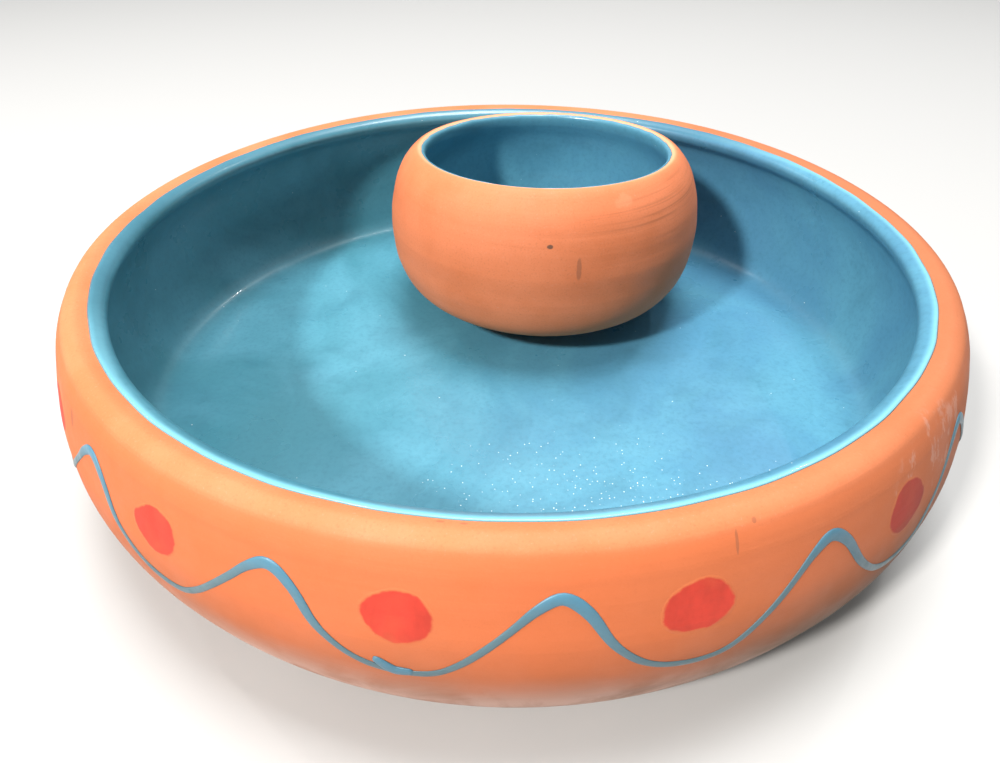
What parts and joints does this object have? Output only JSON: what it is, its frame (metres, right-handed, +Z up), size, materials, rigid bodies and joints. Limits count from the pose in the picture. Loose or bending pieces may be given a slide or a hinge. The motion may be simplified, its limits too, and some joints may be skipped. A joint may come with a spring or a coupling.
{
  "type": "chip and dip server",
  "caption": "Wide shallow glazed terracotta serving bowl with a trailed wave and dot band, and a small matching dip bowl that stands loose on its floor.",
  "frame": {"origin": "centre of the circle that the serving bowl's foot ring stands on", "axes": "+Z up out of the bowls; -Y is the front, and the dip bowl stands towards +Y, a little to +X"},
  "size_m": [0.3191, 0.3193, 0.0879],
  "materials": {
    "terracotta": "unglazed matte clay, dusty near the foot",
    "blue_glaze": "glossy mottled teal-blue glaze with fine white specks",
    "blue_slip": "satin grey-blue trailed line",
    "red_slip": "matte orange-red slip dots with soft edges"
  },
  "bodies": {
    "serving_bowl": {"serving_bowl_body": "terracotta", "serving_bowl_glaze": "blue_glaze", "wave_line": "blue_slip", "dot_01": "red_slip", "dot_02": "red_slip", "dot_03": "red_slip", "dot_04": "red_slip", "dot_05": "red_slip", "dot_06": "red_slip", "dot_07": "red_slip", "dot_08": "red_slip", "dot_09": "red_slip", "dot_10": "red_slip", "dot_11": "red_slip", "dot_12": "red_slip", "dot_13": "red_slip", "dot_14": "red_slip", "dot_15": "red_slip"},
    "dip_bowl": {"dip_bowl_body": "terracotta", "dip_bowl_glaze": "blue_glaze"}
  },
  "joints": [
    {"name": "dip_bowl_lift", "type": "slide", "parent": "serving_bowl", "child": "dip_bowl", "axis": [0, 0, 1], "range_m": [0, 0.1]}
  ]
}
